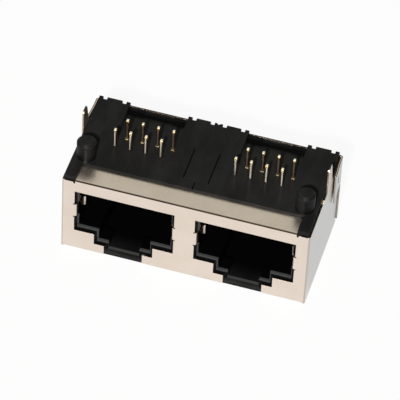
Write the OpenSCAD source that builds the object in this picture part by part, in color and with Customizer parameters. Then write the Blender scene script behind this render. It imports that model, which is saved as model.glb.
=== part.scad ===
// Two-port shielded jack for eight-contact modular plugs, right-angle, through-hole.
// It stands on the flat side of its shield with the board side up and the ports towards -Y.
// Inside the modules, y runs from the outer face of the front plate towards the rear.

/* [Ports] */
// Distance between the middles of the two ports
port_pitch = 15.88; // [15.4:0.02:18]
// Width of the plug cavity
cavity_w = 12.24; // [11.8:0.02:12.6]
// Height of the plug cavity above its shoulders
cavity_h = 6.6; // [6.3:0.05:7.4]
// Width of the upper latch channel
channel_w = 6.86; // [6.2:0.02:7.4]
// Height of the upper latch channel
channel_h = 1.75; // [1.4:0.05:2.2]
// Width of the latch slot at the flat side
slot_w = 4.16; // [3.8:0.02:5]
// Height of the latch slot
slot_h = 1.08; // [0.7:0.01:1.4]
// Thickness of the plastic under the latch slot
slot_floor = 0.75; // [0.55:0.01:1.2]
// Lead-in chamfer at the sides of each port
lead_in = 0.32; // [0.1:0.02:0.4]
// Lead-in chamfer on the ledges of each port
ledge_in = 0.26; // [0.1:0.02:0.35]
// Depth of the shoulders that the plug's latch hooks behind
latch_wall = 2.6; // [1.5:0.1:4]

/* [Housing] */
// Thickness of the plastic from the cavity roof to the board side
roof_t = 2.42; // [2.2:0.02:3.2]
// Height of the contacts' straight run above the cavity roof
run_rise = 1.05; // [0.8:0.05:1.1]
// Thickness of the outer side walls
side_wall = 1.97; // [1.7:0.01:2.6]
// Depth of the housing
housing_d = 13.3; // [12.8:0.05:15]
// Diameter of the board posts
post_d = 2.5; // [2:0.02:2.6]
// Height of the board posts above the board side
post_h = 2.87; // [1.6:0.01:4]
// Bevel at the tip of the posts
post_bevel = 0.35; // [0.1:0.05:0.6]
// Distance of each post from the middle
post_x = 14.37; // [13.9:0.01:14.7]
// Distance of the posts from the front
post_y = 4.2; // [4.2:0.05:5.2]
// Half the width of the outlined panel in the middle of the board side
panel_hw = 1.65; // [1:0.05:2.5]
// Distance of that panel from the front
panel_y = 4.5; // [4:0.05:5.5]
// Distance from the front at which the panel's side lines end
panel_end = 9.9; // [8:0.1:12]

/* [Contacts] */
// Distance between neighbouring contacts
contact_pitch = 1.016; // [0.9:0.002:1.04]
// Width of a contact
contact_w = 0.46; // [0.3:0.01:0.55]
// Thickness of a contact
contact_t = 0.42; // [0.25:0.01:0.5]
// Distance of the front row of tails from the front
row_y = 7.22; // [7.15:0.01:8]
// Distance between the two rows of tails
row_gap = 2.03; // [1.6:0.01:2.6]
// Length of the tails past the board side
tail_h = 2.89; // [2:0.01:3.5]
// Bevel at the tip of the tails
tail_bevel = 0.1; // [0.02:0.01:0.15]
// Inner radius of the bend below each tail
tail_bend = 0.15; // [0.1:0.01:0.3]
// Angle of the contact springs below the roof
spring_angle = 25; // [18:0.5:28]
// Length of the straight contact spring
spring_len = 8.9; // [8.4:0.1:9.2]
// Inner radius of the bend at the front of a spring
spring_bend = 0.35; // [0.25:0.01:0.5]
// Distance of the middle of that bend from the front
spring_y = 2.75; // [2.4:0.05:3.2]

/* [Contact carriers] */
// Distance of the carriers' front edge from the front
carrier_y = 6.83; // [6.7:0.01:6.9]
// Thickness of the carriers' rear wall
carrier_back = 1.6; // [1.2:0.05:2.2]
// Thickness of the carriers' side wings
wing_t = 1.4; // [1:0.05:1.9]
// Width of the recess round the tails
recess_w = 7.8; // [7.7:0.05:8.4]
// Depth of that recess at its rear
recess_depth = 1.2; // [0.5:0.05:1.3]
// Distance of the start of the recess behind the front row
recess_start = 0.2; // [0:0.05:0.6]
// Thickness of the rim behind the recess
recess_rim = 0.6; // [0.4:0.05:0.9]
// Width of the gap in the middle of that rim
rim_gap = 3.85; // [2:0.05:5]
// Width of the notches along the rear edge
edge_notch = 0.55; // [0.3:0.05:0.8]
// Width of the teeth at both ends of each wing
edge_tooth = 0.52; // [0.3:0.02:0.8]
// Depth of those notches
edge_depth = 0.45; // [0.2:0.05:0.8]
// Length of spring that reaches into the comb at the rear of a cavity
comb_reach = 0.7; // [0.4:0.05:1]

/* [Shield] */
// Thickness of the shield's sheet
sheet = 0.2; // [0.15:0.01:0.3]
// Outer radius of the shield's bends
bend_r = 0.26; // [0.24:0.01:0.6]
// How far the shield's rims stay below the board side
rim_drop = 0.72; // [0.3:0.02:0.9]
// How far the front lip stays below the board side
lip_drop = 0.39; // [0.05:0.01:0.5]
// Depth of the front lip
lip_d = 2.68; // [2:0.02:3]
// Width of the front lip
lip_w = 29; // [28:0.05:29.4]
// Radius of the lip's rear corners
lip_corner = 0.55; // [0.2:0.05:1]
// Margin of the front cut-outs beside the plastic
reveal_side = 0.47; // [0.35:0.01:0.6]
// Margin of the front cut-outs below the plastic's ledges
reveal_ledge = 0.44; // [0.3:0.01:0.5]
// Width of the ground tabs at their root
tab_w = 2.45; // [1.8:0.05:2.8]
// Width of the ground tabs at their tip
tab_tip = 1.45; // [0.8:0.05:1.7]
// Height of the ground tabs above the rim
tab_h = 4; // [3:0.05:4.6]
// Distance of the ground tabs' front edge from the front
tab_y = 8.3; // [7.6:0.05:8.8]
// Height of the side spring fingers
finger_h = 2.1; // [1.6:0.05:2.4]
// Height of the fingers' tips
finger_tip = 1.5; // [1:0.05:1.5]
// Distance of the fingers' middle above the cavity's shoulders
finger_rise = 3.16; // [2.6:0.02:4]
// Distance of a finger's fold inside the edge of the cut-out
finger_in = 0.32; // [0.1:0.02:0.36]
// Length of the straight part of a finger
finger_len = 1.6; // [1:0.05:1.8]
// How far the bulge at the tip of a finger stands out
finger_bulge = 0.36; // [0.1:0.02:0.5]
// Depth of the cover's ears along the sides
ear_d = 3.95; // [2:0.05:4.4]
// Height of the cover's ears
ear_h = 4.8; // [4:0.1:8]
// How far the front ends of the ears stand off the shield
ear_flare = 0.16; // [0:0.02:0.3]
// Height of the latches between shield and cover
latch_h = 1; // [0.6:0.05:1.6]
// Height of the cover's lower edge above the flat side
cover_low = 0.7; // [0:0.05:2]

/* [Hidden] */

$fn = 64;
eps = 0.01;

contact_count = 8;
sheet_gap = 0.02;     // between the sheet and the plastic, and between two sheets
part_gap = 0.02;      // between the housing and a carrier
moulded_gap = 0.01;   // round a contact where a carrier holds it
groove_gap = 0.08;    // beside and above a contact that moves in its slot

// Heights, from the flat side of the shield
base_z = sheet + sheet_gap;
floor_z = base_z + slot_floor;
channel_z = floor_z + slot_h;
shoulder_z = channel_z + channel_h;
roof_z = shoulder_z + cavity_h;
face_z = roof_z + roof_t;
rim_z = face_z - rim_drop;
lip_z = face_z - lip_drop;
wing_z = face_z - wing_t;
run_z = roof_z + run_rise;
tail_z = face_z + tail_h;
finger_z = shoulder_z + finger_rise;

// Distances from the middle
port_x = port_pitch / 2;
housing_hw = port_x + cavity_w / 2 + side_wall;
shield_hw = housing_hw + sheet_gap + sheet;
cover_hw = shield_hw + sheet_gap + sheet;
cutout_hw = cavity_w / 2 + reveal_side;

// Depths, from the outer face of the front plate
front_y = sheet + sheet_gap;
housing_end = front_y + housing_d;
carrier_end = housing_end + part_gap + carrier_back;
depth = carrier_end + sheet_gap + sheet;
lip_end = front_y + lip_d;
side_end = depth - bend_r;

// Sill of plastic that fills each cut-out under the latch slot
sill_hw = slot_w / 2 + reveal_side - sheet_gap;
sill_d = 1;

// Depth and width of the V where the carriers meet at the rear edge
vee = 0.25;

// Room that the shield's bends need at the edges of the housing
bend_inner = bend_r - sheet;

// Springs of the contacts, and the comb that their ends move in
spring_mid = spring_bend + contact_t / 2;
spring_z = run_z - spring_mid;
spring_end_angle = 270 - spring_angle;
spring_tip = [spring_y, spring_z]
    + spring_mid * [cos(spring_end_angle), sin(spring_end_angle)]
    + spring_len * [cos(spring_angle), -sin(spring_angle)];
comb_y = spring_tip[0] - comb_reach;
comb_floor = 0.3;
comb_low = spring_tip[1] - contact_t - comb_floor - 0.15;

// Sloping recess round the tails, from y = ramp_y at the board side to the rim behind it
ramp_y = row_y + recess_start;
recess_y = carrier_end - recess_rim;
recess_z = face_z - recess_depth;

// Knee of the rear row's tails: they slope up to just under the recess before they stand upright
knee_z = face_z - recess_depth * (row_gap - recess_start) / (recess_y - ramp_y) - 0.1;
knee_d = (knee_z - run_z) / 2;

// Latches between the shield and its cover: a lug on each side plate in a window of the ear
ear_z = rim_z - ear_h;
ear_y = depth - ear_d;
latch_z = ear_z + (ear_h - latch_h) / 2;
lug_d = 0.4;
lug_y = (ear_y + depth - lug_d) / 2;

// Slit in front of each ear, and the pad beside each ground tab
slit_d = 0.25;
pad_w = 1.5;
pad_step = 0.08;

sides = [-1, 1];
black = "#26262a";
nickel = "#c9c2b8";
brass = "#c9a86a";

function contact_x(i) = (i - (contact_count - 1) / 2) * contact_pitch;
// odd contacts end in the front row and even ones in the rear row
function tail_y(i) = row_y + (i % 2) * row_gap;

// Moves a piece from the front-based frame to the middle of the depth
module from_front() {
    translate([0, -depth / 2, 0]) children();
}

// Repeats a piece at both ports
module at_ports() {
    for (side = sides)
        translate([side * port_x, 0, 0]) children();
}

// A box between two opposite corners
module block(a, b) {
    translate([min(a.x, b.x), min(a.y, b.y), min(a.z, b.z)])
        cube([abs(a.x - b.x), abs(a.y - b.y), abs(a.z - b.z)]);
}

// Gives an outline in (y, z) a width along X, half to each side
module across(width) {
    translate([-width / 2, 0, 0])
        rotate([90, 0, 90]) linear_extrude(height = width) children();
}

// Gives an outline in (x, z) a depth from y0 to y1
module along(y0, y1) {
    translate([0, y1, 0])
        rotate([90, 0, 0]) linear_extrude(height = y1 - y0) children();
}

module ring(outer, inner) {
    difference() {
        circle(outer);
        circle(inner);
    }
}

// The stretch of a ring from angle a0 to a1, no more than 180 degrees
module arc(middle, thickness, a0, a1) {
    reach = 2 * (middle + thickness);
    intersection() {
        ring(middle + thickness / 2, middle - thickness / 2);
        polygon(concat([[0, 0]],
            [for (k = [0 : 3]) reach * [cos(a0 + (a1 - a0) * k / 3), sin(a0 + (a1 - a0) * k / 3)]]));
    }
}

// Points on an arc about c from angle a0 to a1
function arc_points(c, r, a0, a1, steps) =
    [for (k = [0 : steps]) let (a = a0 + (a1 - a0) * k / steps) c + r * [cos(a), sin(a)]];

function unit(v) = v / norm(v);

// A path moved to its left by d, mitred at its corners
function left_of(path, d) =
    [for (i = [0 : len(path) - 1])
        let (
            before = max(i, 1),
            after = min(i, len(path) - 2),
            m = unit(path[before] - path[before - 1]) + unit(path[after + 1] - path[after])
        )
        path[i] + d * 2 / (m * m) * [-m[1], m[0]]];

// A strip of the given thickness along a path
module strip(path, thick) {
    right = left_of(path, -thick / 2);
    polygon(concat(left_of(path, thick / 2), [for (i = [len(right) - 1 : -1 : 0]) right[i]]));
}

// An opening from z0 to z1 that widens by the lead-ins at its front
module flared_opening(w, z0, z1, y0) {
    y1 = housing_end + eps;
    intersection() {
        translate([0, 0, z0 - ledge_in - eps])
            linear_extrude(height = z1 - z0 + ledge_in + eps)
                polygon([
                    [-w / 2 - lead_in - eps, y0 - eps], [-w / 2, y0 + lead_in], [-w / 2, y1],
                    [w / 2, y1], [w / 2, y0 + lead_in], [w / 2 + lead_in + eps, y0 - eps],
                ]);
        across(w + 2 * lead_in + 4 * eps)
            polygon([
                [y0 - eps, z0 - ledge_in - eps], [y0 + ledge_in, z0], [y1, z0],
                [y1, z1], [y0 - eps, z1],
            ]);
    }
}

// Plug cavity, latch channel and latch slot of one port
module plug_opening() {
    flared_opening(cavity_w, shoulder_z, roof_z, front_y);
    flared_opening(channel_w, channel_z, shoulder_z + eps, front_y);
    flared_opening(slot_w, floor_z, channel_z + eps, sheet_gap);
    // room for the plug's latch behind the shoulders
    block([-channel_w / 2, front_y + latch_wall, floor_z],
          [channel_w / 2, housing_end + eps, channel_z + eps]);
}

// Pockets in the side walls of a cavity that the shield's fingers bend into
module finger_pockets() {
    pocket_hw = cutout_hw + 0.1;
    pocket_hh = finger_h / 2 + 0.25;
    pocket_end = front_y + finger_len + 1;
    block([-pocket_hw, front_y - eps, finger_z - pocket_hh],
          [pocket_hw, pocket_end, finger_z + pocket_hh]);
}

// Slots in the roof of a cavity that the contact springs move in
module spring_slots() {
    slot_hw = contact_w / 2 + groove_gap;
    slot_front = spring_y - spring_mid - contact_t / 2 - groove_gap;
    for (i = [0 : contact_count - 1])
        translate([contact_x(i), 0, 0])
            block([-slot_hw, slot_front, roof_z - eps],
                  [slot_hw, carrier_y + eps, run_z + contact_t / 2 + groove_gap]);
}

// A round board post with a bevelled tip, standing on z = 0
module board_post() {
    r = post_d / 2;
    rotate_extrude()
        polygon([[0, -eps], [r, -eps], [r, post_h - post_bevel], [r - post_bevel, post_h], [0, post_h]]);
}

// Shallow lines that outline the middle panel of the board side
module panel_lines() {
    line_hw = 0.07;
    line_d = 0.2;
    for (side = sides)
        block([side * panel_hw - line_hw, panel_y, face_z - line_d],
              [side * panel_hw + line_hw, panel_end, face_z + eps]);
    block([-panel_hw, panel_y - line_hw, face_z - line_d / 4],
          [panel_hw, panel_y + line_hw, face_z + eps]);
    // slit from the panel to the lip
    block([-line_hw, lip_end, face_z - line_d], [line_hw, panel_y - 0.3, face_z + eps]);
}

// The housing's outer form, bevelled where the shield bends round it
module housing_block() {
    hw = housing_hw;
    y0 = front_y;
    y1 = housing_end;
    c = bend_inner;
    intersection() {
        translate([0, 0, base_z]) linear_extrude(height = face_z - base_z)
            polygon([[-hw, y1], [-hw, y0 + c], [c - hw, y0], [hw - c, y0], [hw, y0 + c], [hw, y1]]);
        across(2 * hw)
            polygon([[y0, base_z + c], [y0 + c, base_z], [y1, base_z], [y1, face_z], [y0, face_z]]);
    }
}

// Pocket for the shield's lip
module lip_pocket() {
    low = lip_z - sheet - sheet_gap;
    y0 = front_y - eps;
    across(lip_w + 2 * sheet_gap)
        polygon([
            [y0, low - bend_inner], [front_y, low - bend_inner], [front_y + bend_inner, low],
            [lip_end, low], [lip_end, face_z + eps], [y0, face_z + eps],
        ]);
}

module housing() {
    color(black) from_front() {
        difference() {
            union() {
                housing_block();
                at_ports() block([-sill_hw, sheet_gap, base_z], [sill_hw, sill_d, floor_z]);
            }
            at_ports() {
                plug_opening();
                finger_pockets();
                spring_slots();
                // between the walls, the carrier forms the rear of the roof
                block([-cavity_w / 2, carrier_y, roof_z - eps],
                      [cavity_w / 2, housing_end + eps, wing_z + eps]);
            }
            // seat for both carriers
            block([-housing_hw - eps, carrier_y, wing_z],
                  [housing_hw + eps, housing_end + eps, face_z + eps]);
            lip_pocket();
            panel_lines();
        }
        for (side = sides)
            translate([side * post_x, post_y, face_z]) board_post();
    }
}

// Points of the bend at the foot of a tail: an arc in the front row, a knee in the rear row
function tail_foot(i) =
    let (tail = tail_y(i), turn = tail_bend + contact_t / 2)
    i % 2 == 0
        ? arc_points([tail - turn, run_z + turn], turn, -90, 0, 6)
        : [[tail - knee_d, run_z], [tail, knee_z]];

// Outline in (y, z) of a contact, grown by extra
module contact_outline(i, extra = 0) {
    strip(concat(
        [spring_tip],
        arc_points([spring_y, spring_z], spring_mid, spring_end_angle, 90, 10),
        tail_foot(i),
        [[tail_y(i), tail_z + extra]]
    ), contact_t + 2 * extra);
}

// One contact: tail, straight run through the carrier and spring in the cavity
module contact(side, i) {
    half = contact_w / 2;
    color(brass) from_front()
        translate([side * port_x + contact_x(i), 0, 0])
            intersection() {
                across(contact_w) contact_outline(i);
                along(0, housing_end) polygon([
                    [-half, 0], [half, 0], [half, tail_z - tail_bevel],
                    [half - tail_bevel, tail_z], [tail_bevel - half, tail_z], [-half, tail_z - tail_bevel],
                ]);
            }
}

// Channels that the moulding leaves for the contacts, open above the rear row's knees
module contact_channels() {
    for (i = [0 : contact_count - 1])
        translate([contact_x(i), 0, 0]) {
            across(contact_w + 2 * moulded_gap) contact_outline(i, moulded_gap);
            if (i % 2 == 1)
                block([-contact_w / 2 - moulded_gap, tail_y(i) - knee_d, run_z],
                      [contact_w / 2 + moulded_gap, tail_y(i), face_z]);
        }
}

// Comb at the rear of a cavity that keeps the ends of the springs apart
module spring_comb() {
    comb_hw = contact_x(contact_count - 1) + contact_w / 2 + groove_gap + 0.4;
    slot_hw = contact_w / 2 + groove_gap;
    difference() {
        block([-comb_hw, comb_y, comb_low], [comb_hw, housing_end + part_gap + eps, roof_z + eps]);
        for (i = [0 : contact_count - 1])
            translate([contact_x(i), 0, 0])
                block([-slot_hw, comb_y - eps, comb_low + comb_floor],
                      [slot_hw, comb_y + comb_reach + 0.8, roof_z - 0.5]);
    }
}

// Sloping recess round the tails and the rim behind it
module tail_recess() {
    across(recess_w)
        polygon([
            [ramp_y, face_z], [recess_y, recess_z], [recess_y, face_z + eps], [ramp_y, face_z + eps],
        ]);
    block([-recess_w / 2, recess_y - eps, rim_z], [recess_w / 2, carrier_end + eps, face_z + eps]);
    block([-rim_gap / 2, recess_y - eps, recess_z + 0.3], [rim_gap / 2, carrier_end + eps, rim_z + eps]);
}

// Notches that leave a tooth at each end of a wing's rear edge, from x = a to x = b
module edge_notches(a, b) {
    for (x = [a + edge_tooth, b - edge_tooth - edge_notch])
        block([x, carrier_end - edge_depth, rim_z - 0.05],
              [x + edge_notch, carrier_end + eps, face_z + eps]);
}

// Carrier of one port: rear wall, roof with wings, and the comb
module contact_carrier(side) {
    outer = housing_hw - port_x - part_gap;
    inner = port_x - moulded_gap / 2;
    left = side < 0 ? -outer : -inner;
    right = side < 0 ? inner : outer;
    start = carrier_y + part_gap;
    color(black) from_front()
        difference() {
            translate([side * port_x, 0, 0]) {
                difference() {
                    union() {
                        block([left, start, wing_z + part_gap], [right, carrier_end, face_z]);
                        block([left, housing_end + part_gap, base_z], [right, carrier_end, face_z]);
                        block([part_gap - cavity_w / 2, start, roof_z],
                              [cavity_w / 2 - part_gap, carrier_end, face_z]);
                        spring_comb();
                    }
                    contact_channels();
                    tail_recess();
                    edge_notches(left, -recess_w / 2);
                    edge_notches(recess_w / 2, right);
                }
            }
            panel_lines();
            tab_pad(side);
            middle_vee();
        }
}

// Slightly sunken pad in a wing beside the ground tab
module tab_pad(side) {
    block([side * (housing_hw + eps), tab_y + tab_w / 4, face_z - pad_step],
          [side * (housing_hw - pad_w), tab_y + tab_w, face_z + eps]);
}

// The V where the two carriers meet at the rear edge
module middle_vee() {
    translate([0, 0, rim_z]) linear_extrude(height = face_z - rim_z + eps)
        polygon([[-vee - eps, carrier_end + eps], [0, carrier_end - vee], [vee + eps, carrier_end + eps]]);
}

// Outline in (x, y) of a sheet bent round both sides: half width hw, length d, bends at y = 0
module bent_band(hw, d) {
    difference() {
        rounded_start(hw, d, bend_r);
        translate([0, sheet]) rounded_start(hw - sheet, d, bend_r - sheet);
    }
}

module rounded_start(hw, d, r) {
    translate([-hw, r]) square([2 * hw, d - r]);
    translate([r - hw, 0]) square([2 * (hw - r), r]);
    for (side = sides)
        translate([side * (hw - r), r]) circle(r);
}

// Stepped cut-out of one port in the front plate, open at the flat side
module front_cutout() {
    steps = [
        [cutout_hw, shoulder_z - reveal_ledge, roof_z],
        [channel_w / 2 + reveal_side, channel_z - reveal_ledge, shoulder_z],
        [slot_w / 2 + reveal_side, -eps, channel_z],
    ];
    for (s = steps)
        block([-s[0], -eps, s[1]], [s[0], sheet + eps, s[2]]);
    block([-steps[2][0], -eps, -eps], [steps[2][0], bend_r, sheet + bend_r]);
    // nicks above and below the fingers
    nick = 0.17;
    for (end = sides)
        translate([0, 0, finger_z + end * (finger_h + nick) / 2])
            block([-cutout_hw - nick, -eps, -nick / 2], [cutout_hw + nick, sheet + eps, nick / 2]);
}

// Outline in (x, y) of the right-hand spring finger: it folds in from the plate's edge,
// runs back beside the cavity and bulges into it near its tip
module finger_outline() {
    fold = 0.14 + sheet / 2;
    run_x = cutout_hw - finger_in + sheet / 2;
    bulge = [run_x - finger_bulge / 2, sheet / 2 + fold + finger_len];
    strip(concat(
        [[run_x + fold + 2 * sheet, sheet / 2]],
        arc_points([run_x + fold, sheet / 2 + fold], fold, 270, 180, 6),
        [bulge, bulge + [-finger_bulge, 0.22], bulge + [-finger_bulge, 0.34], bulge + [0, 0.64]]
    ), sheet);
}

module spring_fingers() {
    tip_y = 1;
    for (turn = [0, 1])
        mirror([turn, 0, 0])
            translate([0, 0, finger_z])
                difference() {
                    translate([0, 0, -finger_h / 2]) linear_extrude(height = finger_h) finger_outline();
                    for (end = sides)
                        block([0, tip_y, end * finger_tip / 2], [cutout_hw + 1, tip_y + 4, end * finger_h]);
                }
}

// Lip folded back over the board side
module front_lip() {
    across(lip_w) translate([bend_r, lip_z - bend_r]) arc(bend_r - sheet / 2, sheet, 90, 180);
    r = lip_corner;
    lip_rear = lip_end - sheet_gap;
    translate([0, 0, lip_z - sheet]) linear_extrude(height = sheet) {
        translate([-lip_w / 2, bend_r]) square([lip_w, lip_rear - bend_r - r]);
        translate([r - lip_w / 2, bend_r]) square([lip_w - 2 * r, lip_rear - bend_r]);
        for (side = sides)
            translate([side * (lip_w / 2 - r), lip_rear - r]) circle(r);
    }
}

// Ground tab outline in (y, z)
module ground_tab() {
    top = rim_z + tab_h;
    nib = 0.2;
    polygon([
        [tab_y, rim_z - 1], [tab_y, top - nib], [tab_y + nib, top], [tab_y + tab_tip - nib, top],
        [tab_y + tab_tip, top - nib], [tab_y + tab_w, rim_z], [tab_y + tab_w, rim_z - 1],
    ]);
}

// Shield bent from one sheet: front plate with cut-outs, lip, sides, flat plate and tabs
module front_shield() {
    relief = 0.25;
    flat_hw = shield_hw - sheet - sheet_gap;
    corner_hw = shield_hw - bend_r - 0.1;
    slit_y = ear_y - slit_d - 0.05;
    color(nickel) from_front() {
        difference() {
            union() {
                difference() {
                    linear_extrude(height = rim_z) bent_band(shield_hw, side_end);
                    // room for the lip's bend and the reliefs at its ends
                    block([-lip_w / 2 - relief, -eps, rim_z - relief],
                          [lip_w / 2 + relief, bend_r, rim_z + eps]);
                    // room for the bend to the flat plate
                    block([-corner_hw, -eps, -eps], [corner_hw, bend_r, bend_r]);
                }
                along(0, sheet) translate([-lip_w / 2, rim_z - relief - eps])
                    square([lip_w, lip_z - bend_r - rim_z + relief + eps]);
                front_lip();
                across(2 * corner_hw) translate([bend_r, bend_r]) arc(bend_r - sheet / 2, sheet, 180, 270);
                block([-flat_hw, bend_r, 0], [flat_hw, carrier_end, sheet]);
                for (side = sides) {
                    translate([side * (shield_hw - sheet / 2), 0, 0]) across(sheet) ground_tab();
                    // lug that stands in the window of the cover's ear
                    block([side * (shield_hw - sheet / 2), lug_y, latch_z],
                          [side * (shield_hw + sheet), lug_y + lug_d, latch_z + latch_h]);
                }
            }
            at_ports() front_cutout();
            // slits in the sides in front of the ears
            block([-shield_hw - eps, slit_y, ear_z + 0.3], [shield_hw + eps, slit_y + slit_d, ear_z + 0.9]);
        }
        at_ports() spring_fingers();
    }
}

// Outline in (x, y) of the cover: rear plate, two bends and two ears that flare a little
module cover_outline() {
    mid_x = cover_hw - sheet / 2;
    mid_y = depth - sheet / 2;
    r = bend_r - sheet / 2;
    half = concat(
        arc_points([mid_x - r, mid_y - r], r, 90, 0, 6),
        [[mid_x, ear_y + ear_d * 2 / 3], [mid_x + ear_flare, ear_y]]
    );
    strip(concat([for (i = [len(half) - 1 : -1 : 0]) [-half[i][0], half[i][1]]], half), sheet);
}

// Cover over the rear, with ears that grip the shield's sides
module rear_shield_cover() {
    reach = cover_hw + ear_flare + 1;
    window = 0.08;
    color(nickel) from_front()
        difference() {
            translate([0, 0, cover_low]) linear_extrude(height = rim_z - cover_low) cover_outline();
            for (side = sides) {
                // below the ears only the bends remain
                block([side * (shield_hw - 1), ear_y - 1, 0], [side * reach, depth - bend_r, ear_z]);
                // windows for the shield's lugs
                block([side * shield_hw, lug_y - window, latch_z - window],
                      [side * reach, lug_y + lug_d + window, latch_z + latch_h + window]);
            }
        }
}

housing();
contact_carrier(-1);  // left_contact_carrier
contact_carrier(1);  // right_contact_carrier
contact(-1, 0);  // left_contact_1
contact(-1, 1);  // left_contact_2
contact(-1, 2);  // left_contact_3
contact(-1, 3);  // left_contact_4
contact(-1, 4);  // left_contact_5
contact(-1, 5);  // left_contact_6
contact(-1, 6);  // left_contact_7
contact(-1, 7);  // left_contact_8
contact(1, 0);  // right_contact_1
contact(1, 1);  // right_contact_2
contact(1, 2);  // right_contact_3
contact(1, 3);  // right_contact_4
contact(1, 4);  // right_contact_5
contact(1, 5);  // right_contact_6
contact(1, 6);  // right_contact_7
contact(1, 7);  // right_contact_8
front_shield();
rear_shield_cover();
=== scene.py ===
# A shielded two-port modular jack, lying board side up on a white table.
import math

import bmesh
import bpy
from mathutils import Matrix, Vector


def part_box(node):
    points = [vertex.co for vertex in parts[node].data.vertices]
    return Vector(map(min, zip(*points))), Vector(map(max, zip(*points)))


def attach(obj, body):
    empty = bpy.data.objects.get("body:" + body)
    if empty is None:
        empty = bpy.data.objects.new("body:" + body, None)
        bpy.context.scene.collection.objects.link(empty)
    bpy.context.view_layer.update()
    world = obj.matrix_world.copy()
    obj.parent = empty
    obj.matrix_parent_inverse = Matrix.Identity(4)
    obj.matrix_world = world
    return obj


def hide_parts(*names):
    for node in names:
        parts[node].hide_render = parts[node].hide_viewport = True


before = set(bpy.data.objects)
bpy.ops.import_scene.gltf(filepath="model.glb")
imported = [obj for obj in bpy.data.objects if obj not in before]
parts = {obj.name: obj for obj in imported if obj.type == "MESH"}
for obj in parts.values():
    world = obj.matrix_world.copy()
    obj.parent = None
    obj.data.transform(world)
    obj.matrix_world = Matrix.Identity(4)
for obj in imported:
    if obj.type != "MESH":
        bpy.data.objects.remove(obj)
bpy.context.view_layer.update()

# Camera
# A long lens from above the front right, turned a little about its own axis, so that the whole jack
# fills the middle of the picture.
azimuth = math.radians(13.992)
elevation = math.radians(46.35)
camera_roll = math.radians(3.319)
camera_distance = 0.4695
shift_right = -0.000046
shift_up = 0.000507
lens_mm = 330.02
sensor_mm = 36.0
aim = Vector((0.0, -0.00018, 0.0055))

camera_back = Vector((
    math.sin(azimuth) * math.cos(elevation),
    -math.cos(azimuth) * math.cos(elevation),
    math.sin(elevation),
))
level_right = Vector((math.cos(azimuth), math.sin(azimuth), 0.0))
level_up = camera_back.cross(level_right)
camera_right = level_right * math.cos(camera_roll) + level_up * math.sin(camera_roll)
camera_up = camera_back.cross(camera_right)
camera_place = aim + camera_back * camera_distance + level_right * shift_right + level_up * shift_up

camera_data = bpy.data.cameras.new("camera")
camera_data.lens = lens_mm
camera_data.sensor_width = sensor_mm
camera_data.clip_start = 0.01
camera_data.clip_end = 20.0
camera = bpy.data.objects.new("camera", camera_data)
camera.matrix_world = Matrix((
    (camera_right.x, camera_up.x, camera_back.x, camera_place.x),
    (camera_right.y, camera_up.y, camera_back.y, camera_place.y),
    (camera_right.z, camera_up.z, camera_back.z, camera_place.z),
    (0.0, 0.0, 0.0, 1.0),
))
bpy.context.scene.collection.objects.link(camera)
bpy.context.scene.camera = camera
bpy.context.scene.view_settings.view_transform = "Standard"


# Table
# A plain white sheet that the jack lies on. The lens sees it white, with the jack's faint shadow;
# the metal sees it white in front of the jack and a little cooler and darker behind it.
def new_material(name):
    material = bpy.data.materials.new(name)
    material.use_nodes = True
    material.node_tree.nodes.clear()
    return material


def place(tree, kind, **values):
    node = tree.nodes.new(kind)
    for name, value in values.items():
        setattr(node, name, value)
    return node


def plug(tree, source, target):
    # a socket is joined, anything else is a plain value
    if isinstance(source, bpy.types.NodeSocket):
        tree.links.new(source, target)
    else:
        target.default_value = source


def calc(tree, operation, *values, clamped=False):
    node = place(tree, "ShaderNodeMath", operation=operation, use_clamp=clamped)
    for value, socket in zip(values, node.inputs):
        plug(tree, value, socket)
    return node.outputs[0]


def all_of(tree, *masks):
    result = masks[0]
    for mask in masks[1:]:
        result = calc(tree, "MULTIPLY", result, mask)
    return result


def ramp(tree, value, start, end, low=0.0, high=1.0):
    node = place(tree, "ShaderNodeMapRange", interpolation_type="SMOOTHSTEP")
    for socket, number in zip(node.inputs, (value, start, end, low, high)):
        plug(tree, number, socket)
    return node.outputs[0]


def blend_colours(tree, share, first, second):
    node = place(tree, "ShaderNodeMix", data_type="RGBA")
    plug(tree, share, node.inputs[0])
    plug(tree, first, node.inputs[6])
    plug(tree, second, node.inputs[7])
    return node.outputs[2]


table_white = (0.8, 0.8, 0.8, 1.0)
table_seen_white = (1.0, 1.0, 1.0, 1.0)
table_behind = (0.68, 0.757, 0.83, 1.0)
behind_start_y = -0.009
behind_end_y = -0.003
table_glow = 0.94
table_reach = 3.0
table_drop = 0.00002

table_mesh = bpy.data.meshes.new("table")
table_mesh.from_pydata(
    [
        (-table_reach, -table_reach, 0.0),
        (table_reach, -table_reach, 0.0),
        (table_reach, table_reach, 0.0),
        (-table_reach, table_reach, 0.0),
    ],
    [],
    [(0, 1, 2, 3)],
)
table = bpy.data.objects.new("table", table_mesh)
table.location.z = -table_drop
bpy.context.scene.collection.objects.link(table)
table_material = new_material("white_table")
tree = table_material.node_tree
paper = place(tree, "ShaderNodeBsdfDiffuse")
paper.inputs["Color"].default_value = table_white
seen = place(tree, "ShaderNodeLightPath")
where = place(tree, "ShaderNodeTexCoord")
across_table = place(tree, "ShaderNodeSeparateXYZ")
plug(tree, where.outputs["Object"], across_table.inputs[0])
behind = ramp(tree, across_table.outputs["Y"], behind_start_y, behind_end_y)
in_metal = calc(tree, "MULTIPLY", behind, seen.outputs["Is Glossy Ray"])
glow = place(tree, "ShaderNodeEmission")
plug(tree, blend_colours(tree, in_metal, table_seen_white, table_behind), glow.inputs["Color"])
seen_directly = calc(tree, "ADD", seen.outputs["Is Camera Ray"], seen.outputs["Is Glossy Ray"], clamped=True)
seen_at_all = calc(tree, "ADD", seen_directly, seen.outputs["Is Transmission Ray"], clamped=True)
table_blend = place(tree, "ShaderNodeMixShader")
plug(tree, calc(tree, "MULTIPLY", seen_at_all, table_glow), table_blend.inputs[0])
plug(tree, paper.outputs[0], table_blend.inputs[1])
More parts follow.
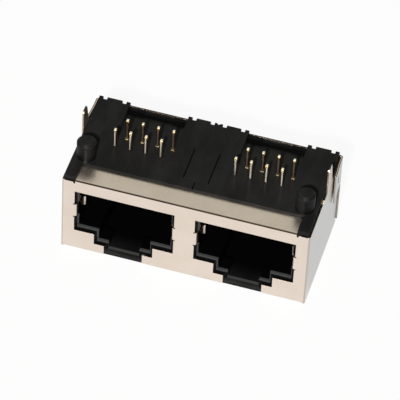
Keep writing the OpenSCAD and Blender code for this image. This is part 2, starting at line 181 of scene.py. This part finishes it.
plug(tree, glow.outputs[0], table_blend.inputs[2])
output = place(tree, "ShaderNodeOutputMaterial")
plug(tree, table_blend.outputs[0], output.inputs[0])
table_mesh.materials.append(table_material)


# Light
# One fairly hard lamp high up at the front and an even grey sky. The sky is white to the lens, and it has
# a darker band low at the front, which is the room that the bends of the metal pick up.
def add_lamp(name, lamp_azimuth, lamp_elevation, distance, size, watts, colour):
    a = math.radians(lamp_azimuth)
    e = math.radians(lamp_elevation)
    direction = Vector((math.sin(a) * math.cos(e), -math.cos(a) * math.cos(e), math.sin(e)))
    data = bpy.data.lights.new(name, "AREA")
    data.shape = "DISK"
    data.size = size
    data.energy = watts
    data.color = colour
    lamp = bpy.data.objects.new(name, data)
    lamp.location = aim + direction * distance
    lamp.rotation_euler = direction.to_track_quat("Z", "Y").to_euler()
    bpy.context.scene.collection.objects.link(lamp)


add_lamp(
    "key_lamp",
    lamp_azimuth=7.0,
    lamp_elevation=41.0,
    distance=0.9,
    size=0.045,
    watts=9.5,
    colour=(1.0, 0.985, 0.96),
)

sky_grey = (0.6, 0.6, 0.55, 1.0)
sky_fill = 0.04
room_dark = (0.1, 0.085, 0.07, 1.0)
room_low = (0.0, 0.04)
room_high = (0.22, 0.34)
room_side = (-0.5, -0.1)
world = bpy.data.worlds.new("studio")
bpy.context.scene.world = world
world.use_nodes = True
tree = world.node_tree
tree.nodes.clear()
where = place(tree, "ShaderNodeTexCoord")
heading = place(tree, "ShaderNodeSeparateXYZ")
plug(tree, where.outputs["Generated"], heading.inputs[0])
low_in_front = all_of(
    tree,
    ramp(tree, heading.outputs["Z"], *room_low),
    ramp(tree, heading.outputs["Z"], *room_high, 1.0, 0.0),
    ramp(tree, heading.outputs["Y"], *room_side, 1.0, 0.0),
)
sky = place(tree, "ShaderNodeBackground")
plug(tree, blend_colours(tree, low_in_front, sky_grey, room_dark), sky.inputs["Color"])
seen = place(tree, "ShaderNodeLightPath")
sky_strength = calc(tree, "MULTIPLY_ADD", seen.outputs["Is Diffuse Ray"], sky_fill - 1.0, 1.0)
plug(tree, sky_strength, sky.inputs["Strength"])
white_wall = place(tree, "ShaderNodeBackground")
white_wall.inputs["Color"].default_value = (1.0, 1.0, 1.0, 1.0)
sky_blend = place(tree, "ShaderNodeMixShader")
plug(tree, seen.outputs["Is Camera Ray"], sky_blend.inputs[0])
plug(tree, sky.outputs[0], sky_blend.inputs[1])
plug(tree, white_wall.outputs[0], sky_blend.inputs[2])
output = place(tree, "ShaderNodeOutputWorld")
plug(tree, sky_blend.outputs[0], output.inputs[0])


# Housing
# The black moulded block with both plug openings and the two board posts, one shot of plastic.
# Outside it has the fine grain of an eroded mould and soft flow marks; the cores that form the ports are
# polished, so the inside is smoother, and it is painted darker there as shade.
def new_group(name, inputs, outputs):
    group = bpy.data.node_groups.new(name, "ShaderNodeTree")
    for socket_name, kind, value in inputs:
        socket = group.interface.new_socket(socket_name, in_out="INPUT", socket_type="NodeSocket" + kind)
        socket.default_value = value
    for socket_name, kind in outputs:
        group.interface.new_socket(socket_name, in_out="OUTPUT", socket_type="NodeSocket" + kind)
    return group, group.nodes.new("NodeGroupInput"), group.nodes.new("NodeGroupOutput")


def use_group(tree, group, **values):
    node = place(tree, "ShaderNodeGroup", node_tree=group)
    for name, value in values.items():
        plug(tree, value, node.inputs[name.replace("_", " ")])
    return node.outputs


def object_place(tree, stretch=(1.0, 1.0, 1.0)):
    coordinates = place(tree, "ShaderNodeTexCoord").outputs["Object"]
    mapping = place(tree, "ShaderNodeMapping")
    plug(tree, coordinates, mapping.inputs["Vector"])
    mapping.inputs["Scale"].default_value = stretch
    return mapping.outputs[0]


def place_on_part(tree):
    spot = place(tree, "ShaderNodeSeparateXYZ")
    plug(tree, object_place(tree), spot.inputs[0])
    return spot.outputs["X"], spot.outputs["Y"], spot.outputs["Z"]


def above(tree, value, limit):
    return calc(tree, "GREATER_THAN", value, limit)


def below(tree, value, limit):
    return calc(tree, "LESS_THAN", value, limit)


def size_of(tree, value):
    return calc(tree, "ABSOLUTE", value)


def distance_from(tree, value, middle):
    return size_of(tree, calc(tree, "SUBTRACT", value, middle))


def noise(tree, coordinates, scale, detail=2.0, rough=0.5):
    node = place(tree, "ShaderNodeTexNoise")
    plug(tree, coordinates, node.inputs["Vector"])
    plug(tree, scale, node.inputs["Scale"])
    node.inputs["Detail"].default_value = detail
    node.inputs["Roughness"].default_value = rough
    return node.outputs[0]


# Rolled edges, for plastic and sheet: the normal turns softly over an edge, and a mask says where
edge_starts = 0.99
edge_full = 0.8
soft_edges, group_in, group_out = new_group(
    "soft_edges",
    [("Radius", "Float", 0.00005)],
    [("Normal", "Vector"), ("Edge", "Float")],
)
rounding = place(soft_edges, "ShaderNodeBevel", samples=6)
plug(soft_edges, group_in.outputs["Radius"], rounding.inputs["Radius"])
face = place(soft_edges, "ShaderNodeNewGeometry")
facing = place(soft_edges, "ShaderNodeVectorMath", operation="DOT_PRODUCT")
plug(soft_edges, rounding.outputs[0], facing.inputs[0])
plug(soft_edges, face.outputs["True Normal"], facing.inputs[1])
plug(soft_edges, rounding.outputs[0], group_out.inputs["Normal"])
plug(soft_edges, ramp(soft_edges, facing.outputs["Value"], edge_starts, edge_full), group_out.inputs["Edge"])

# Skin of moulded plastic, for the housing and the contact carriers
moulded_skin, group_in, group_out = new_group(
    "moulded_skin",
    [
        ("Colour", "Color", (0.0115, 0.0115, 0.0118, 1.0)),
        ("Flow Colour", "Color", (0.0185, 0.0185, 0.0185, 1.0)),
        ("Mouth Highlight Colour", "Color", (0.06, 0.06, 0.061, 1.0)),
        ("Inner Colour", "Color", (0.0015, 0.0015, 0.0016, 1.0)),
        ("Roughness", "Float", 0.4),
        ("Grain Scale", "Float", 9000.0),
        ("Inside Start", "Float", -0.0076),
    ],
    [("Colour", "Color"), ("Roughness", "Float"), ("Height", "Float"), ("On Posts", "Float")],
)
tree = moulded_skin
inside_start = group_in.outputs["Inside Start"]
across, back, up = place_on_part(tree)
x_out = size_of(tree, across)

# painted shade in the recesses round the rear tails, darker towards the rear
port_middle_x = 0.00794
recess_half = 0.00396
recess_shade_y = (0.0054, 0.0068)
recess_shade = 0.85
recess_low_z = 0.0114
in_recess = all_of(
    tree,
    below(tree, distance_from(tree, x_out, port_middle_x), recess_half),
    ramp(tree, back, *recess_shade_y, 0.0, recess_shade),
    above(tree, up, recess_low_z),
)

# painted shade inside the ports, lighter on the front of the channel's floor where light falls, and none on
# the strip at the mouth, where a highlight is painted
floor_run = 0.0035
floor_light = 0.55
channel_floor_z = 0.0011
board_side_low = 0.0115
strip_front_y = -0.00725
strip_rear_y = -0.0069
strip_fade = 0.00012
in_block = below(tree, up, board_side_low)
lit_floor = all_of(
    tree,
    ramp(tree, back, inside_start, calc(tree, "ADD", inside_start, floor_run), 1.0, 0.0),
    below(tree, up, channel_floor_z),
)
inside = all_of(
    tree,
    calc(tree, "MULTIPLY_ADD", lit_floor, -floor_light, 1.0),
    above(tree, back, inside_start),
    in_block,
)
# a painted highlight: a paler strip at the mouth of each port
at_mouth = all_of(
    tree,
    ramp(tree, back, strip_front_y - strip_fade, strip_front_y),
    ramp(tree, back, strip_rear_y, strip_rear_y + strip_fade, 1.0, 0.0),
    in_block,
)

# on the posts, whose shanks are painted darker towards the board side, as shade
board_side_high = 0.01295
post_end_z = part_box("housing")[1][2]
post_end_skin = 0.00003
shank_run = 0.0012
shank_shade = (0.8, 0.3)
on_posts = above(tree, up, board_side_high)
plug(tree, on_posts, group_out.inputs["On Posts"])
on_shank = all_of(
    tree,
    ramp(tree, up, board_side_high, board_side_high + shank_run, *shank_shade),
    on_posts,
    below(tree, up, post_end_z - post_end_skin),
)

# painted shade along the lines round the middle panel of the board side, and in the slit in front of it
panel_half = 0.00165
panel_front_y = -0.00318
panel_rear_y = 0.00222
slit_front_y = -0.00478
slit_rear_y = -0.00348
line_half = 0.000085
lines_low_z = 0.0125
side_lines = all_of(
    tree,
    below(tree, distance_from(tree, x_out, panel_half), line_half),
    above(tree, back, panel_front_y),
    below(tree, back, panel_rear_y),
)
slit = all_of(
    tree,
    below(tree, x_out, line_half),
    above(tree, back, slit_front_y),
    below(tree, back, slit_rear_y),
)
on_lines = all_of(tree, above(tree, up, lines_low_z), calc(tree, "ADD", side_lines, slit))

# painted shade: the recesses, the inside of the ports, the posts' shanks and the lines of the board side are
# painted in the dark shade colour
painted_shade = calc(tree, "ADD", in_recess, calc(tree, "ADD", inside, on_shank), clamped=True)
painted_shade = calc(tree, "ADD", painted_shade, on_lines, clamped=True)
painted_shade = calc(tree, "MULTIPLY", painted_shade, calc(tree, "SUBTRACT", 1.0, at_mouth))
flow_scale = 420.0
flow_reach = (0.35, 0.7)
flow_roughness = 0.16
grain_roughness = 0.12
inside_polish = 0.15
post_dullness = 0.2
flow = noise(tree, object_place(tree, (1.0, 0.4, 1.0)), flow_scale, 3.0, 0.6)
grain = noise(tree, object_place(tree), group_in.outputs["Grain Scale"], 3.0, 0.6)
flow_share = ramp(tree, flow, *flow_reach)
outside = blend_colours(tree, flow_share, group_in.outputs["Colour"], group_in.outputs["Flow Colour"])
outside = blend_colours(tree, at_mouth, outside, group_in.outputs["Mouth Highlight Colour"])
skin_colour = blend_colours(tree, painted_shade, outside, group_in.outputs["Inner Colour"])
plug(tree, skin_colour, group_out.inputs["Colour"])
uneven = calc(tree, "MULTIPLY_ADD", flow, flow_roughness, -flow_roughness / 2.0)
speckle = calc(tree, "MULTIPLY_ADD", grain, grain_roughness, -grain_roughness / 2.0)
polish = calc(tree, "MULTIPLY_ADD", inside, -inside_polish, group_in.outputs["Roughness"])
dulled = calc(tree, "MULTIPLY_ADD", on_posts, post_dullness, polish)
skin_roughness = calc(tree, "ADD", dulled, calc(tree, "ADD", uneven, speckle))
plug(tree, skin_roughness, group_out.inputs["Roughness"])
plug(tree, grain, group_out.inputs["Height"])


def bumped(tree, normal, height, distance):
    node = place(tree, "ShaderNodeBump")
    node.inputs["Distance"].default_value = distance
    plug(tree, height, node.inputs["Height"])
    plug(tree, normal, node.inputs["Normal"])
    return node.outputs[0]


def finish_material(tree, colour, roughness, normal, metallic=0.0, specular=0.5):
    skin = place(tree, "ShaderNodeBsdfPrincipled")
    plug(tree, colour, skin.inputs["Base Color"])
    plug(tree, roughness, skin.inputs["Roughness"])
    plug(tree, normal, skin.inputs["Normal"])
    plug(tree, metallic, skin.inputs["Metallic"])
    skin.inputs["Specular IOR Level"].default_value = specular
    output = place(tree, "ShaderNodeOutputMaterial")
    plug(tree, skin.outputs[0], output.inputs[0])


post_edge_highlight = (0.07, 0.07, 0.07, 1.0)
plastic_edge = 0.00009
plastic_gloss = 0.055


def black_plastic(name, roughness, grain_scale, grain_height):
    material = new_material(name)
    tree = material.node_tree
    skin = use_group(tree, moulded_skin, Roughness=roughness, Grain_Scale=grain_scale)
    edges = use_group(tree, soft_edges, Radius=plastic_edge)
    normal = bumped(tree, edges["Normal"], skin["Height"], grain_height)
    # a painted highlight: the rounded edges of the posts are painted paler
    post_edge_highlight_mask = calc(tree, "MULTIPLY", edges["Edge"], skin["On Posts"])
    colour = blend_colours(tree, post_edge_highlight_mask, skin["Colour"], post_edge_highlight)
    finish_material(tree, colour, skin["Roughness"], normal, specular=plastic_gloss)
    return material


def dress(node, material):
    mesh = parts[node].data
    mesh.materials.clear()
    mesh.materials.append(material)


housing_plastic = black_plastic(
    "housing_plastic",
    roughness=0.25,
    grain_scale=9000.0,
    grain_height=0.000001,
)
dress("housing", housing_plastic)

# Contact carriers
# The two black mouldings that slide in from the rear and hold the contacts, from a mould with a finer,
# slightly duller skin than the housing's.
carrier_plastic = black_plastic(
    "carrier_plastic",
    roughness=0.27,
    grain_scale=12000.0,
    grain_height=0.0000008,
)
dress("left_contact_carrier", carrier_plastic)
dress("right_contact_carrier", carrier_plastic)

# Contacts
# Sixteen formed contacts of four-sided bronze wire. The springs in the ports are plated with gold and
# the tails with a thin pale flash, painted pale only in a highlight down the middle of each face and dark
# brown as shade elsewhere; their sides are painted browner, as bare metal and as shade, and the tips, cut
# square, are painted near white, as bare metal and as a highlight.
gold = (1.0, 0.78, 0.4, 1.0)
tail_flash = (1.0, 0.94, 0.84, 1.0)
tail_shade = (0.1, 0.065, 0.04, 1.0)
rear_row_brown = (0.4, 0.27, 0.18, 1.0)
rear_row_share = 0.8
knuckle_highlight_gold = (1.0, 0.78, 0.5, 1.0)
wire_side_and_shade = (0.1, 0.06, 0.035, 1.0)
tip_metal_and_highlight = (1.0, 0.95, 0.8, 1.0)
flash_low_z = 0.01252
flash_high_z = 0.01302
knuckle_low_z = 0.0113
knuckle_below_tip = 0.0005
knuckle_slope = (0.25, 0.45)
side_slope = (0.2, 0.6)
tip_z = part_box("left_contact_1")[1][2]
gold_tip = 0.0004
gold_tip_full = 0.00015
cut_tip = 0.00003
cut_tip_full = 0.00001
between_rows_y = 0.00055
contact_pitch = 0.001016
bright_band = (0.00007, 0.00013)
line_contrast = 0.65
whole_pitches = 20.5
matt_share = 0.42
cut_roughness = 0.12
wire_roughness = (0.36, 0.42)
drawn_scale = 9000.0
drawn_height = 0.0000001
blotch_scale = 2600.0
blotch_reach = (0.25, 0.5)
blotch_shade = 0.7
stripe_scale = 7000.0
stripe_reach = (0.44, 0.54)

plated_wire = new_material("plated_wire")
tree = plated_wire.node_tree
across, back, up = place_on_part(tree)
drawn_lines = noise(tree, object_place(tree, (1.0, 1.0, 0.06)), drawn_scale)
blotches = noise(tree, object_place(tree), blotch_scale)
along_tail = noise(tree, object_place(tree, (1.0, 0.02, 0.02)), stripe_scale, 1.0)
stripes = ramp(tree, along_tail, *stripe_reach)
above_board_side = ramp(tree, up, flash_low_z, flash_high_z)
flashed = all_of(
    tree,
    above_board_side,
    ramp(tree, up, tip_z - gold_tip, tip_z - gold_tip_full, 1.0, 0.0),
    ramp(tree, blotches, *blotch_reach, blotch_shade, 1.0),
)
on_tip = ramp(tree, up, tip_z - cut_tip, tip_z - cut_tip_full)
rear_row = above(tree, back, between_rows_y)
wire_face = place(tree, "ShaderNodeNewGeometry")
facing = place(tree, "ShaderNodeSeparateXYZ")
plug(tree, wire_face.outputs["True Normal"], facing.inputs[0])
sideways = all_of(tree, ramp(tree, size_of(tree, facing.outputs["X"]), *side_slope), above_board_side)

# a painted highlight: the middle of each tail's face is painted brighter than its rims, in fine lines along
# it, and the rims are painted dark as shade
along_row = calc(tree, "SUBTRACT", size_of(tree, across), port_middle_x)
in_pitches = calc(tree, "DIVIDE", along_row, contact_pitch)
from_middle = calc(tree, "PINGPONG", calc(tree, "ADD", in_pitches, whole_pitches), 0.5)
band_in_pitches = [width / contact_pitch for width in bright_band]
bright_middle = ramp(tree, from_middle, *band_in_pitches, 1.0, 0.0)
lined = calc(tree, "MULTIPLY_ADD", stripes, line_contrast, 1.0 - line_contrast)
bright_lines = calc(tree, "MULTIPLY", bright_middle, lined)
matt_lines = all_of(
    tree,
    bright_lines,
    flashed,
    calc(tree, "SUBTRACT", 1.0, sideways),
    calc(tree, "MULTIPLY_ADD", rear_row, -rear_row_share, 1.0),
)
# a painted highlight: the sloped tops of the bends at the tails' roots are painted pale gold
knuckle_highlight = all_of(
    tree,
    ramp(tree, facing.outputs["Z"], *knuckle_slope),
    above(tree, up, knuckle_low_z),
    below(tree, up, tip_z - knuckle_below_tip),
)
flash = blend_colours(tree, bright_lines, tail_shade, tail_flash)
rear_flash = blend_colours(tree, bright_middle, tail_shade, rear_row_brown)
# the rear row's tails are painted browner and darker
flash = blend_colours(tree, calc(tree, "MULTIPLY", rear_row, rear_row_share), flash, rear_flash)
wire_colour = blend_colours(tree, flashed, gold, flash)
# the sides are painted dark brown, partly as bare metal and partly as painted shade
wire_colour = blend_colours(tree, sideways, wire_colour, wire_side_and_shade)
# the cut tips are painted near white, partly as bare metal and partly as a painted highlight
wire_colour = blend_colours(tree, on_tip, wire_colour, tip_metal_and_highlight)
wire_colour = blend_colours(tree, knuckle_highlight, wire_colour, knuckle_highlight_gold)
dull_places = calc(tree, "ADD", matt_lines, knuckle_highlight, clamped=True)
finish_material(
    tree,
    wire_colour,
    calc(tree, "MULTIPLY_ADD", on_tip, cut_roughness, ramp(tree, blotches, 0.3, 0.7, *wire_roughness)),
    bumped(tree, wire_face.outputs["Normal"], drawn_lines, drawn_height),
    metallic=calc(tree, "MULTIPLY_ADD", dull_places, -matt_share, 1.0),
)

wire_edge = 0.00007
wire_edge_segments = 3
same_point = 0.0000002
flat_angle = math.radians(1.0)
corner_angle = math.radians(40.0)
for node in sorted(parts):
    if "_contact_" not in node or "carrier" in node:
        continue
    form = bmesh.new()
    form.from_mesh(parts[node].data)
    bmesh.ops.remove_doubles(form, verts=form.verts[:], dist=same_point)
    bmesh.ops.dissolve_limit(form, angle_limit=flat_angle, verts=form.verts[:], edges=form.edges[:])
    corners = [e for e in form.edges if len(e.link_faces) == 2 and e.calc_face_angle() > corner_angle]
    bmesh.ops.bevel(
        form,
        geom=corners,
        affect="EDGES",
        offset=wire_edge,
        offset_type="OFFSET",
        segments=wire_edge_segments,
        profile=0.5,
        material=-1,
        clamp_overlap=True,
    )
    wire_mesh = bpy.data.meshes.new(node + "_wire")
    form.to_mesh(wire_mesh)
    form.free()
    wire_mesh.materials.append(plated_wire)
    wire = bpy.data.objects.new(node + "_wire", wire_mesh)
    bpy.context.scene.collection.objects.link(wire)
    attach(wire, "root")
    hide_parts(node)

# Front shield
# One sheet of nickel-plated brass, stamped and folded: front plate, lip, sides, flat side, fingers and tabs.
# The plating is satin, finely lined by rolling; the sheared edges show darker, bare metal. A dark
# reflection is painted along the bends, and shade is painted on the roots of the spring fingers.
nickel = (0.77, 0.665, 0.57, 1.0)
nickel_tint = (0.8, 0.7, 0.61, 1.0)
bare_edge_and_shade = (0.05, 0.035, 0.024, 1.0)
bright_edge_and_highlight = (0.9, 0.78, 0.62, 1.0)
bend_dark_reflection = (0.025, 0.016, 0.01, 1.0)
sheet = 0.0002
sheet_slack = 0.00001
rim_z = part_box("rear_shield_cover")[1][2]
front_face_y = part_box("front_shield")[0][1]
rear_face_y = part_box("rear_shield_cover")[1][1]
side_face_x = 0.01625

# Where the sheared edges of a folded sheet are: faces whose normal lies in the plane of their plate
sheared_edges, group_in, group_out = new_group(
    "sheared_edges",
    [
        ("Front", "Float", front_face_y + sheet + sheet_slack),
        ("Rear", "Float", rear_face_y - sheet - sheet_slack),
        ("Side", "Float", side_face_x - sheet - sheet_slack),
        ("Rim", "Float", rim_z),
    ],
    [
        ("Edge", "Float"),
        ("Painted Bend Line", "Float"),
        ("Facing", "Float"),
        ("Inner", "Float"),
        ("Finger Root Shade", "Float"),
        ("Rear", "Float"),
    ],
)
flat_bend_z = 0.0003
bend_slack = 0.0001
rim_slack = 0.00003
in_plane = 0.3
upright = 0.6
tree = sheared_edges
across, back, up = place_on_part(tree)
x_out = size_of(tree, across)
face = place(tree, "ShaderNodeNewGeometry")
lean = place(tree, "ShaderNodeSeparateXYZ")
plug(tree, face.outputs["True Normal"], lean.inputs[0])
lean_x, lean_y, lean_z = [size_of(tree, lean.outputs[axis]) for axis in "XYZ"]
in_front = below(tree, back, group_in.outputs["Front"])
in_rear = above(tree, back, group_in.outputs["Rear"])
in_side = above(tree, x_out, group_in.outputs["Side"])
past_front = calc(tree, "SUBTRACT", 1.0, in_front)
inside_bends = below(tree, x_out, calc(tree, "SUBTRACT", group_in.outputs["Side"], bend_slack))
above_rim = above(tree, up, calc(tree, "ADD", group_in.outputs["Rim"], rim_slack))
below_rim = calc(tree, "SUBTRACT", 1.0, above_rim)
above_bend = above(tree, up, flat_bend_z)
front_edge = all_of(tree, in_front, below(tree, lean_y, in_plane), below_rim, above_bend, inside_bends)
rear_edge = all_of(tree, in_rear, below(tree, lean_y, in_plane))
side_edge = all_of(tree, in_side, below(tree, lean_x, in_plane), past_front)
lip_edge = all_of(tree, above_rim, below(tree, lean_z, in_plane), inside_bends, past_front)
plates = calc(tree, "ADD", front_edge, rear_edge)
folds = calc(tree, "ADD", side_edge, lip_edge)
plug(tree, calc(tree, "ADD", plates, folds, clamped=True), group_out.inputs["Edge"])
plug(tree, rear_edge, group_out.inputs["Rear"])
plug(tree, all_of(tree, side_edge, above(tree, lean_y, upright)), group_out.inputs["Facing"])

# the inner half of the flared ears' rims, where a highlight is painted on the rear cover
ear_middle_x = 0.01637
ear_bend_y = 0.00636
ear_lean = 0.0608
flared_by = calc(tree, "MULTIPLY", calc(tree, "SUBTRACT", ear_bend_y, back), ear_lean)
ear_middle = calc(tree, "ADD", calc(tree, "MAXIMUM", flared_by, 0.0), ear_middle_x)
inner_half = all_of(tree, above(tree, x_out, side_face_x), below(tree, x_out, ear_middle))
plug(tree, inner_half, group_out.inputs["Inner"])

# painted shade on the spring fingers: all but the crest that touches the plug is painted dark
finger_crest = (0.0057, 0.00593)
finger_y = (front_face_y + 0.0006, front_face_y + 0.006)
finger_z = (0.004, 0.01143)
finger_x = 0.01525
from_port = distance_from(tree, x_out, port_middle_x)
past_crest = above(tree, from_port, finger_crest[1])
off_crest = calc(tree, "ADD", past_crest, below(tree, from_port, finger_crest[0]))
finger_root_shade = all_of(
    tree,
    off_crest,
    above(tree, back, finger_y[0]),
    below(tree, back, finger_y[1]),
    below(tree, up, finger_z[1]),
    below(tree, x_out, finger_x),
    above(tree, up, finger_z[0]),
)
plug(tree, finger_root_shade, group_out.inputs["Finger Root Shade"])

# a painted dark reflection along the creases of the lip and the side plates, placed by shares of the bend's
# radius from its end
lip_z = 0.01243
bend_radius = 0.00026
side_crease = [side_face_x - bend_radius * share for share in (1.0, 0.6, 0.2, 0.0)]
lip_crease = [lip_z - bend_radius * share for share in (0.9, 0.65, 0.2, 0.0)]
side_crease_share = 0.3
side_crease_end = 0.3
in_bend = below(tree, back, front_face_y + bend_radius)
side_bend = all_of(
    tree,
    in_bend,
    ramp(tree, x_out, side_crease[0], side_crease[1]),
    ramp(tree, x_out, side_crease[2], side_crease[3], 1.0, side_crease_end),
)
lip_bend = all_of(
    tree,
    in_bend,
    ramp(tree, up, lip_crease[0], lip_crease[1]),
    ramp(tree, up, lip_crease[2], lip_crease[3], 1.0, 0.0),
)
side_bend = calc(tree, "MULTIPLY", side_bend, side_crease_share)
plug(tree, calc(tree, "ADD", side_bend, lip_bend, clamped=True), group_out.inputs["Painted Bend Line"])

sheet_edge = 0.00006
cloud_scale = 260.0
rolling_scale = 9000.0
pit_scale = 7000.0
torn_scale = 420.0
torn_reach = (0.6, 0.66)
rear_rim_dark = 0.7
cut_dullness = 0.15
cloud_roughness = (0.25, 0.31)
line_roughness = 0.06
rolled_share = 0.6
surface_height = 0.0000006


def nickel_sheet(name, inner_rim_highlight, facing_edge):
    material = new_material(name)
    tree = material.node_tree
    cuts = use_group(tree, sheared_edges)
    edges = use_group(tree, soft_edges, Radius=sheet_edge)
    clouds = noise(tree, object_place(tree), cloud_scale, 3.0, 0.55)
    rolled = noise(tree, object_place(tree, (0.05, 1.0, 1.0)), rolling_scale, 3.0, 0.65)
    pits = noise(tree, object_place(tree), pit_scale, 2.0, 0.6)
    torn = ramp(tree, noise(tree, object_place(tree), torn_scale), *torn_reach)
    plate = blend_colours(tree, ramp(tree, clouds, 0.35, 0.65), nickel, nickel_tint)
    plate = blend_colours(tree, cuts["Painted Bend Line"], plate, bend_dark_reflection)
    plate = blend_colours(tree, cuts["Finger Root Shade"], plate, bare_edge_and_shade)
    shiny = calc(tree, "MULTIPLY", torn, calc(tree, "MULTIPLY_ADD", cuts["Rear"], -rear_rim_dark, 1.0))
    cut = blend_colours(tree, shiny, bare_edge_and_shade, bright_edge_and_highlight)
    cut = blend_colours(tree, calc(tree, "MULTIPLY", cuts["Inner"], inner_rim_highlight), cut, bright_edge_and_highlight)
    cut = blend_colours(tree, cuts["Facing"], cut, facing_edge)
    lined = ramp(tree, rolled, 0.3, 0.7, 0.0, line_roughness)
    satin = calc(tree, "ADD", ramp(tree, clouds, 0.3, 0.7, *cloud_roughness), lined)
    pitted = calc(tree, "MULTIPLY", pits, 1.0 - rolled_share)
    surface = calc(tree, "MULTIPLY_ADD", rolled, rolled_share, pitted)
    finish_material(
        tree,
        blend_colours(tree, cuts["Edge"], plate, cut),
        calc(tree, "MULTIPLY_ADD", cuts["Edge"], cut_dullness, satin),
        bumped(tree, edges["Normal"], surface, surface_height),
        metallic=1.0,
    )
    return material


shield_nickel = nickel_sheet("shield_nickel", inner_rim_highlight=0.0, facing_edge=(0.62, 0.46, 0.33, 1.0))
dress("front_shield", shield_nickel)

# Rear cover
# A second nickel-plated sheet, snapped over the rear; its two ears grip the side plates on small lugs,
# and the inner half of their rims is painted bright as a highlight.
cover_nickel = nickel_sheet("cover_nickel", inner_rim_highlight=1.0, facing_edge=(0.5, 0.46, 0.42, 1.0))
dress("rear_shield_cover", cover_nickel)
